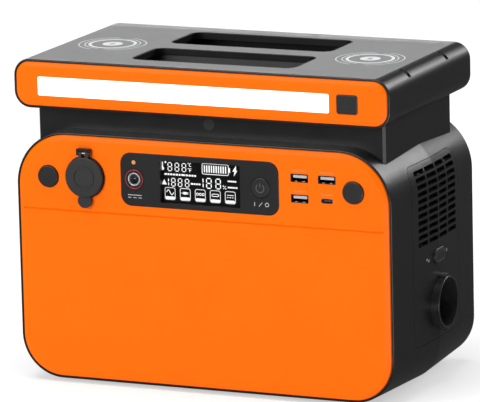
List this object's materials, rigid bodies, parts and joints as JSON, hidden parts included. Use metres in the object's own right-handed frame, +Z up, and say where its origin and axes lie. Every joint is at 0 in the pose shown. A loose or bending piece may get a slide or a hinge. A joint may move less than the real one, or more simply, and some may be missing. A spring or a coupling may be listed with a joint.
{
  "type": "portable power station",
  "caption": "Battery power station: rounded case with an orange control panel, hinged socket cover, display, side grille and mains socket under a flat handle head with light and charging zones",
  "frame": {"origin": "On the floor under the middle of the whole footprint, at the underside of the feet", "axes": "+X to the right as seen from the front, +Y to the back, +Z up; the control panel faces -Y"},
  "size_m": [0.3324, 0.1766, 0.2595],
  "materials": {
    "shell_plastic": "fine spark-eroded grain",
    "steel": "drawn",
    "foot_rubber": "matt rubber",
    "orange_panel": "satin moulded",
    "bezel_plastic": "satin",
    "window_glass": "smoked, glossy",
    "lcd": "glass over black",
    "circuit": "solder mask",
    "lamp": "clear",
    "red_ring": "glossy",
    "jack_metal": "bright",
    "key_plastic": "satin",
    "black_plastic": "matt",
    "spring_brass": "plain",
    "cover_rubber": "soft matt rubber",
    "fan_plastic": "matt",
    "lens": "opal diffuser",
    "led": "phosphor",
    "grey_plate": "soft matt",
    "tub_plastic": "matt",
    "copper": "enamelled wire",
    "cell_wrap": "blue shrink sleeve over a metal can",
    "holder": "matt",
    "nickel": "nickel",
    "core": "ferrite",
    "cap_sleeve": "sleeve",
    "aluminium": "extruded"
  },
  "bodies": {
    "case": {"front_shell": "shell_plastic", "rear_shell": "shell_plastic", "case_screws": "steel", "feet": "foot_rubber", "front_panel": "orange_panel", "control_bezel": "bezel_plastic", "display_window": "window_glass", "lcd_module": "lcd", "display_board": "circuit", "indicator_lamp": "lamp", "dc_jack_ring": "red_ring", "dc_jack": "jack_metal", "button_switches": "black_plastic", "car_socket_body": "black_plastic", "car_socket_liner": "jack_metal", "car_socket_contact": "spring_brass", "cover_bracket": "black_plastic", "cover_pin": "steel", "usb_a_sockets": "jack_metal", "usb_c_socket": "jack_metal", "usb_board": "circuit", "side_panel_right": "shell_plastic", "side_panel_left": "shell_plastic", "mains_socket_housing": "black_plastic", "mains_socket_insert": "black_plastic", "mains_contacts": "spring_brass", "earth_clips": "steel", "ac_switch": "black_plastic", "fan_frame": "fan_plastic", "neck": "shell_plastic", "neck_plugs": "shell_plastic", "neck_screws": "steel", "head_housing": "shell_plastic", "head_fascia": "orange_panel", "light_lens": "lens", "light_board": "circuit", "light_leds": "led", "top_plate": "grey_plate", "grip_tub": "tub_plastic", "carry_bar": "tub_plastic", "carry_bar_rod": "steel", "charging_coils": "copper", "charging_boards": "circuit", "battery_cells": "cell_wrap", "cell_holders": "holder", "bus_strips": "nickel", "bms_board": "circuit", "inverter_board": "circuit", "transformer": "core", "capacitors": "cap_sleeve", "heat_sink": "aluminium", "link_bars": "nickel"},
    "cover": {"car_socket_cover": "cover_rubber"},
    "left_key": {"dc_button": "key_plastic"},
    "right_key": {"usb_button": "key_plastic"},
    "power_key": {"power_button": "key_plastic"},
    "light_key": {"light_button": "key_plastic"},
    "ac_key": {"ac_button": "key_plastic"},
    "rotor": {"fan_rotor": "fan_plastic"}
  },
  "joints": [
    {"name": "cover_hinge", "type": "hinge", "parent": "case", "child": "cover", "pos_m": [-0.1022, -0.08565, 0.1874], "axis": [-1, 0, 0], "range_deg": [0, 100]},
    {"name": "dc_button_press", "type": "slide", "parent": "case", "child": "left_key", "axis": [0, 1, 0], "range_m": [0, 0.0015], "stiffness_N_per_m": 900, "springref_m": -0.001},
    {"name": "usb_button_press", "type": "slide", "parent": "case", "child": "right_key", "axis": [0, 1, 0], "range_m": [0, 0.0015], "stiffness_N_per_m": 900, "springref_m": -0.001},
    {"name": "power_button_press", "type": "slide", "parent": "case", "child": "power_key", "axis": [0, 1, 0], "range_m": [0, 0.001], "stiffness_N_per_m": 1200, "springref_m": -0.0008},
    {"name": "light_button_press", "type": "slide", "parent": "case", "child": "light_key", "axis": [0, 1, 0], "range_m": [0, 0.001], "stiffness_N_per_m": 1200, "springref_m": -0.0008},
    {"name": "ac_button_press", "type": "slide", "parent": "case", "child": "ac_key", "axis": [-1, 0, 0], "range_m": [0, 0.0012], "stiffness_N_per_m": 1200, "springref_m": -0.0008},
    {"name": "fan_spin", "type": "hinge", "parent": "case", "child": "rotor", "pos_m": [0.1338, 0.00585, 0.146], "axis": [1, 0, 0], "continuous": true}
  ]
}
